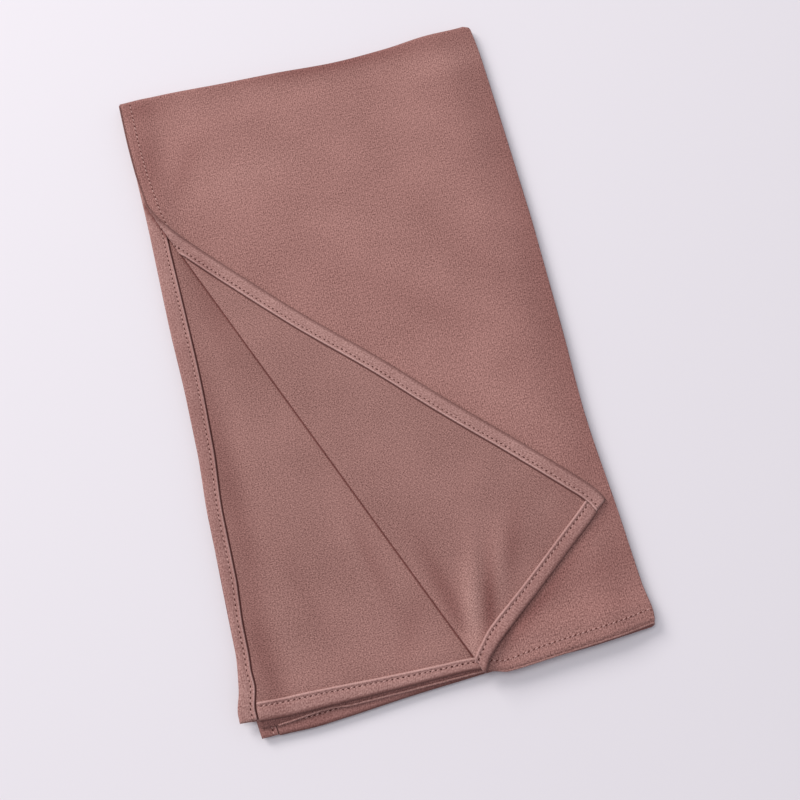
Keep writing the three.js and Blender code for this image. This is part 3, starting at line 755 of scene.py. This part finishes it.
def stations_between(start, end, spacing, point):
    """Places from start to end, with their true lengths along the hem."""
    count = max(2, round(abs(end - start) / spacing))
    places = [blend(start, end, k / count) for k in range(count + 1)]
    lengths, last = [], None
    for at in places:
        here = point(at, STITCH_IN, SEAM_UP)[1]
        lengths.append(0 if last is None else lengths[-1] + (here - last).length)
        last = here
    return list(zip(places, lengths))


print("the turned long hem ends at", round(corner_y, 1))

# %% [markdown]
# ## Stitches
#
# A seam on jersey shows as short threads, each pulled down into the cloth at both ends, with a small
# pit in shade where the needle went in. Every thread and every pit is a small stretched ball, half sunk,
# because a painted line would stay flat in a close view; the pits are coloured dark as painted shade.
# There are hundreds, so each has only a few faces.

# %% A row of stitches
STITCH = 2.2  # length of a thread that shows
THREAD = 0.75  # its width, as it is a loop of two strands pulled tight
PIT = 1.9  # length of the pit between two threads
LONGER, WIDER = 0.2, 0.25  # how much one stitch differs from the next


def small_ball(name, length, width, height):
    """A stretched ball of few faces, lying along X at the origin, in millimetres."""
    bm = bmesh.new()
    lying = Matrix.Rotation(math.pi / 2, 4, "Y")
    bmesh.ops.create_uvsphere(bm, u_segments=8, v_segments=5, radius=0.5, matrix=lying)
    bmesh.ops.scale(bm, vec=(length, width, height), verts=bm.verts)
    mesh = bpy.data.meshes.new(name)
    bm.to_mesh(mesh)
    bm.free()
    return mesh


one_stitch = small_ball("one_stitch", STITCH, THREAD, height=0.56)
one_pit = small_ball("one_pit", PIT, width=1.6, height=0.4)


def ball_row(bm, ball, point, stations, phase, length, inward, lift, side=1, slant=0.2, wide=1):
    """Lays small balls along a seam, one each pitch. side is 1 on the wrong side of the cloth and -1 on
    its face. slant is how far each lies across the seam, as a jersey stitch does."""
    total, place_at = stations[-1][1], smooth_line([(length, at) for at, length in stations])
    for k in range(int(total / PITCH - 0.5)):
        middle = (k + phase) * PITCH
        ends = []
        for e in (-0.5, 0.5):
            at = place_at(middle + e * length)
            ends.append(point(at, inward(at), lift(at, middle)))
        start, end = ends[0][1], ends[1][1]
        up = ends[0][2] * side
        along_seam = (end - start).normalized()
        sideways = up.cross(along_seam).normalized()
        uneven = math.sin(5.3 * k) * math.sin(1.7 * k + 1)
        along_seam = (along_seam + sideways * slant * (1 + uneven)).normalized()
        sideways = up.cross(along_seam).normalized()
        up = along_seam.cross(sideways)
        turn = Matrix((along_seam, sideways, up)).transposed().to_4x4()
        size = Matrix.Diagonal((1 + LONGER * uneven, wide * (1 + WIDER * math.sin(2.9 * k)), 1, 1))
        made = ball.copy()
        made.transform(Matrix.Scale(MM, 4) @ Matrix.Translation((start + end) / 2) @ turn @ size)
        bm.from_mesh(made)
        bpy.data.meshes.remove(made)


def stitches_object(bm, name, material):
    """One piece of all the balls that were laid into a mesh."""
    bmesh.ops.recalc_face_normals(bm, faces=bm.faces)
    for face in bm.faces:
        face.smooth = True
    return object_of(bm, name, [material])


# %% [markdown]
# ## Materials
#
# The cloth is single jersey of cotton and viscose, knitted and piece-dyed in one dusty rose. Its face
# has fine upright wales and a soft dull sheen. Its wrong side has the small purl loops, which scatter
# more light and look grainy. Both are built from the flat cut's UV map, so the pattern follows the
# cloth. A photograph would do for a still, but nodes stay sharp in a close view.

# %% Colours and nodes
def linear(code):
    """An sRGB hex colour as Blender's linear one."""
    parts = [int(code[i:i + 2], 16) / 255 for i in (1, 3, 5)]
    return (*(c / 12.92 if c <= 0.04045 else ((c + 0.055) / 1.055) ** 2.4 for c in parts), 1)


def add(tree, kind, inputs=None, **settings):
    """Adds a node: its own settings, and a value or a socket for each input."""
    made = tree.nodes.new("ShaderNode" + kind)
    for name, value in settings.items():
        setattr(made, name, value)
    for name, value in (inputs or {}).items():
        socket = made.inputs[name]
        if isinstance(value, bpy.types.NodeSocket):
            tree.links.new(value, socket)
        else:
            socket.default_value = value
    return made


def mix_colours(tree, share, first, second):
    """Mixes two colours. Each is a hex code or a socket."""
    first, second = (linear(colour) if isinstance(colour, str) else colour for colour in (first, second))
    return add(tree, "Mix", {0: share, 6: first, 7: second}, data_type="RGBA").outputs[2]


def new_material(name, values):
    """A material with values for the inputs of its shader."""
    material = bpy.data.materials.new(name)
    material.use_nodes = True
    shader = material.node_tree.nodes["Principled BSDF"]
    for word, value in values.items():
        shader.inputs[word].default_value = value
    return material, material.node_tree, shader


def fibres(name, roughness, sheen):
    """A material of fibres: hardly any shine, and a soft pale sheen where it is seen from the side."""
    tint = linear("#f0d8d2")
    values = {"Roughness": roughness, "Specular IOR Level": 0.25}
    values |= {"Sheen Weight": sheen, "Sheen Roughness": 0.5, "Sheen Tint": tint}
    return new_material(name, values)


# %% The knit
# Colours of the painted highlight on a hem's inner fold, and of the painted shade on its foot and outer fold
RIDGE_HIGHLIGHT, DEEP_SHADE = "#dab1aa", "#5a322e"
PATCHY = 0.12  # share of the broad uneven patches in the colour
LIGHTER = (0.8, 1.08, 1.08)  # how much red, green and blue follow the painted light and shade, as this cloth looks redder in shade


def knit(name, dark, light, sheen, wale, wale_share, grain, grain_stretch, relief, hem=False):
    """Single jersey. Sizes are in millimetres: wale is the spacing of the upright lines, and grain the
    size of the uneven loops. A hem has a painted highlight on its inner fold, and painted shade on its
    foot and outer fold. The cloth's tone is painted light and shade."""
    material, tree, shader = fibres(name, 0.92, sheen)
    cut = add(tree, "UVMap", uv_map="cut")
    mm = add(tree, "VectorMath", {0: cut.outputs["UV"], 1: (1000, 1000, 1000)}, operation="MULTIPLY")
    parts = add(tree, "SeparateXYZ", {0: mm.outputs[0]})
    wobble = add(tree, "TexNoise", {"Vector": mm.outputs[0], "Scale": 0.06, "Detail": 2.0})
    shift = {0: wobble.outputs["Fac"], 1: 5.0, 2: parts.outputs[0]}
    moved = add(tree, "Math", shift, operation="MULTIPLY_ADD")
    turn = add(tree, "Math", {0: moved.outputs[0], 1: 2 * math.pi / wale}, operation="MULTIPLY")
    wave = add(tree, "Math", {0: turn.outputs[0]}, operation="SINE")
    upright = add(tree, "MapRange", {0: wave.outputs[0], 1: -1.0, 2: 1.0, 3: 0.0, 4: 1.0})
    finer = (1 / grain, 1 / (grain * grain_stretch), 1)
    stretched = add(tree, "Mapping", {"Vector": mm.outputs[0], "Scale": finer}).outputs[0]
    loops = add(tree, "TexNoise", {"Vector": stretched, "Scale": 1.0, "Detail": 3.0, "Roughness": 0.6})
    sharp = add(tree, "MapRange", {0: loops.outputs["Fac"], 1: 0.3, 2: 0.7, 3: 0.0, 4: 1.0})
    surface = add(tree, "Mix", {0: wale_share, 2: sharp.outputs[0], 3: upright.outputs[0]})
    broad = add(tree, "TexNoise", {"Vector": mm.outputs[0], "Scale": 0.018, "Detail": 3.0})
    patches = add(tree, "MapRange", {0: broad.outputs["Fac"], 1: 0.3, 2: 0.7, 3: 0.0, 4: 1.0})
    mixed = add(tree, "Mix", {0: PATCHY, 2: surface.outputs[0], 3: patches.outputs[0]})
    colour = mix_colours(tree, mixed.outputs[0], dark, light)
    if hem:
        # Painted highlight on the inner fold, then painted shade on the foot and the outer fold
        inward = add(tree, "Attribute", attribute_name="inward").outputs["Fac"]
        rise = {0: inward, 1: 9.4, 2: 9.9, 3: 0.0, 4: 0.42}
        highlight_share = add(tree, "MapRange", rise, interpolation_type="SMOOTHSTEP")
        colour = mix_colours(tree, highlight_share.outputs[0], colour, RIDGE_HIGHLIGHT)
        foot = add(tree, "Attribute", attribute_name="foot").outputs["Fac"]
        colour = mix_colours(tree, foot, colour, DEEP_SHADE)
    # Painted light and shade from the tone attribute
    painted_light_and_shade = add(tree, "Attribute", attribute_name="tone").outputs["Fac"]
    share = add(tree, "VectorMath", {0: painted_light_and_shade, 1: LIGHTER, 2: (1, 1, 1)}, operation="MULTIPLY_ADD")
    toned = add(tree, "VectorMath", {0: colour, 1: share.outputs[0]}, operation="MULTIPLY")
    tree.links.new(toned.outputs[0], shader.inputs["Base Color"])
    raised = add(tree, "Bump", {"Height": surface.outputs[0], "Strength": relief, "Distance": 0.0003})
    tree.links.new(raised.outputs["Normal"], shader.inputs["Normal"])
    return material


# Face of single jersey: fine upright wales. Real wales are about 0.6 mm apart, too fine to show here,
# so they are drawn at 1.5 mm.
jersey_face = knit("jersey_face_dusty_rose", "#5c352f", "#cd9a92", sheen=0.12, wale=1.5, wale_share=0.14,
                   grain=1.0, grain_stretch=1.2, relief=1.0)
# Wrong side of single jersey: small purl loops, drawn at 1.05 mm, with hardly any line to them.
jersey_back = knit("jersey_purl_side_dusty_rose", "#5b3731", "#c7978f", sheen=0.12, wale=1.6,
                   wale_share=0.08, grain=1.05, grain_stretch=0.8, relief=1.0)
# The hem is the same jersey, turned so that its face shows. It is pulled smooth by the seam, so its
# loops show less and it looks paler.
jersey_hem = knit("jersey_turned_hem_dusty_rose", "#734b45", "#c69a93", sheen=0.14, wale=1.5,
                  wale_share=0.14, grain=1.2, grain_stretch=1.0, relief=0.8, hem=True)


def thread(name, dark, light):
    """Spun polyester sewing thread, dyed to match. It is twisted, so it has small slanting bands."""
    material, tree, shader = fibres(name, 0.7, 0.1)
    place = add(tree, "TexCoord")
    bands = add(tree, "TexNoise", {"Vector": place.outputs["Object"], "Scale": 1500.0, "Detail": 1.0})
    colour = mix_colours(tree, bands.outputs["Fac"], dark, light)
    tree.links.new(colour, shader.inputs["Base Color"])
    return material


thread_wrong = thread("polyester_thread_rose", "#a67c75", "#d2aba4")
thread_face = thread("polyester_thread_deep_rose", "#a67d76", "#d2a9a2")


def needle_hole_shade(name, colour):
    """The same jersey at a needle hole, pulled down into a pit where hardly any light gets in. Its dark
    colour is painted shade, which draws the dark dots between the stitches."""
    material, _, shader = fibres(name, 0.95, 0.0)
    shader.inputs["Base Color"].default_value = linear(colour)
    return material


pit_shade = needle_hole_shade("painted_shade_at_needle_hole", "#4f2c28")
pit_shade_face = needle_hole_shade("painted_shade_at_face_needle_hole", "#633a35")
print("materials:", len(bpy.data.materials))

# %% [markdown]
# ## Putting the scarf together
#
# The cloth comes first, then the hems, then their seams. Each hem is puffed up where nothing lies on it
# and pressed flatter where a layer covers it.

# %% The cloth and its hems
cloth = cut_and_fold([jersey_face, jersey_back])
covered, free = 0.75, 1.0  # how far a hem puffs up, with a layer over it and without one
top_side, second_side, fourth_side = (partial(side_edge_point, layer) for layer in (0, 1, 3))
top_end, lower_end = partial(near_edge_point, 0), partial(near_edge_point, 3)
corner_ends, lower_ends = band(0.58, 0.5), band(0.7, 0.4)
corner_side_ends = band(95, 150)
bare_end = band(2.5, 2.62)
SIDE_SPACING, END_SPACING = 1.8, 0.0068  # between two stations, in millimetres and in marks across
END_FROM, END_TO = 0.042, 2.957  # the short hems go from mark to mark across


def side_full(at):
    return blend(free, covered, corner_side_ends(at))


def top_end_full(at):
    return blend(covered, free, max(corner_ends(at), bare_end(at)))


def lower_full(at):
    return blend(covered, free, lower_ends(at))


def end_width(at):
    """Past the right fold this hem lies on the second layer."""
    return top_end_width(at) if at < 1 else second_end_width(at)


second_corner, fourth_corner = second_near(-141), fourth_near(-130)
second_width = line(
    "-227:11 -207:10.2 -193:8 -164:7.4 -149:8.2 -134:9.2 -87:9.6 -40:10.8 9:12 43:12.6 112:11.4")
plain_width = steady(10.5)
top_end_width = line("0:10.5 0.3:9.9 0.44:10.2 0.52:8.8 0.6:9.4 0.72:11.4 1:12")
second_end_width = line("1:12 1.6:9 2.45:7.4 2.75:10.4 2.86:11.6 3:11.8")


# A row is layer, point function, stations, puffed share, width, rim's painted shade, foot's painted
# shade, painted light and shade, seed
hems = {
    "hem_top_side": (
        0, top_side, stations_between(corner_y, 238, SIDE_SPACING, top_side), side_full,
        plain_width, steady(0.7), 0.95, steady(0.09), 1.3),
    "hem_second_side": (
        1, second_side, stations_between(second_corner, 226, SIDE_SPACING, second_side), side_full,
        second_width, steady(0), 1, steady(0.02), 2.1),
    "hem_fourth_side": (
        3, fourth_side, stations_between(fourth_corner, -196, SIDE_SPACING, fourth_side), side_full,
        plain_width, steady(0), 0.6, steady(0), 3.4),
    "hem_top_end": (
        1, top_end, stations_between(END_FROM, END_TO, END_SPACING, top_end), top_end_full,
        end_width, line("0:0.6 0.55:0.6 0.62:0.15 2.3:0.15 2.4:0.85"), 0.15,
        line("0:-0.09 0.55:-0.09 0.62:0 1.2:0 1.5:-0.55 2.32:-0.55 2.42:0.03 3:0.03"), 4.2),
    "hem_lower_end": (
        3, lower_end, stations_between(END_FROM, END_TO, END_SPACING, lower_end), lower_full,
        steady(9.5), line("0:0.6 1.6:0.6 2.1:0 3:0"), 0.3,
        line("0:0 0.6:0 0.7:-0.6 1.6:-0.7 1.95:0.1 2.3:0.28 3:0.28"), 5.7),
}
strips = [hem_strip(name, *row, jersey_hem) for name, row in hems.items()]
print("hems:", [strip.name for strip in strips])

# %% The seams
SEAM_LIFT = 0.62  # height of the hem's section at the seam
END_SLANT, SIDE_SLANT = 0.55, 0.2  # how far the stitches slant on the short and the long hems
wrong_bm, face_bm, pit_bm, face_pit_bm = (bmesh.new() for _ in range(4))
for _, point, stations, full, width, *_, seed in hems.values():
    slant = END_SLANT if point in (top_end, lower_end) else SIDE_SLANT

    def inward(at, width=width):
        return across_hem(STITCH_IN, width(at))

    def on_hem(at, length, full=full, seed=seed):
        return hem_lift(length, STITCH_IN, SEAM_LIFT, full(at), seed) + CLOTH / 2

    def on_face(at, length):
        return -CLOTH / 2

    ball_row(wrong_bm, one_stitch, point, stations, 0.5, STITCH, inward, on_hem, slant=slant)
    ball_row(pit_bm, one_pit, point, stations, 1, PIT, inward, on_hem, slant=slant)
    if point in (top_side, top_end):
        ball_row(face_bm, one_stitch, point, stations, 0.5, STITCH, inward, on_face, side=-1)
        ball_row(face_pit_bm, one_pit, point, stations, 1, PIT, inward, on_face, side=-1, slant=0.4, wide=0.6)
seams = [stitches_object(wrong_bm, "hem_stitches_wrong_side", thread_wrong),
         stitches_object(face_bm, "hem_stitches_face", thread_face),
         stitches_object(pit_bm, "hem_needle_pits", pit_shade),
         stitches_object(face_pit_bm, "hem_needle_pits_face", pit_shade_face)]

pieces = [cloth, *strips, *seams]
for piece in pieces:
    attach(piece, "root")
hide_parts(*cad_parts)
print("pieces:", [piece.name for piece in pieces])

# %% [markdown]
# ## Floor, light and camera
#
# The scarf lies on a plain pale floor under a large soft light from the upper left. A soft light is a
# large one: its size makes the shadow's wide soft edge.

# %% Floor
def make_floor():
    """A wide sheet of matte paper. It scatters light evenly, so the shadow on it has no shine."""
    bm = bmesh.new()
    bmesh.ops.create_grid(bm, x_segments=1, y_segments=1, size=20)
    values = {"Base Color": linear("#e6e3e8"), "Roughness": 0.95}
    material, _, _ = new_material("matte_paper_backdrop", values)
    floor = object_of(bm, "floor", [material])


make_floor()

# %% Light
scene = bpy.context.scene
scene.view_settings.view_transform = "Standard"
world = bpy.data.worlds.new("soft_room")
scene.world = world
world.use_nodes = True
world.node_tree.nodes["Background"].inputs["Color"].default_value = linear("#f4f2fb")
world.node_tree.nodes["Background"].inputs["Strength"].default_value = 0.445


def soft_light(name, place, aim, size, power, colour):
    data = bpy.data.lights.new(name, "AREA")
    data.shape, data.size, data.energy, data.color = "SQUARE", size, power, linear(colour)[:3]
    lamp = bpy.data.objects.new(name, data)
    lamp.location = place
    lamp.rotation_euler = (Vector(aim) - Vector(place)).to_track_quat("-Z", "Y").to_euler()
    scene.collection.objects.link(lamp)


soft_light("window_light", (-2.0, 2.6, 2.2), (0, 0, 0), 1.9, 114, "#fffaf8")
soft_light("top_light", (-0.9, 0.45, 3.6), (0, 0, 0), 1.5, 38, "#ffffff")

# %% Camera
camera = bpy.data.objects.new("camera", bpy.data.cameras.new("camera"))
camera.data.lens, camera.data.sensor_width = 50, 36
target, back, distance = Vector((0.01265, -0.04005, 0.01)), Vector((-0.0655, -0.2593, 0.9636)), 0.7828
camera.location = target + back * distance
camera.rotation_euler = (-back).to_track_quat("-Z", "Y").to_euler()
scene.collection.objects.link(camera)
scene.camera = camera
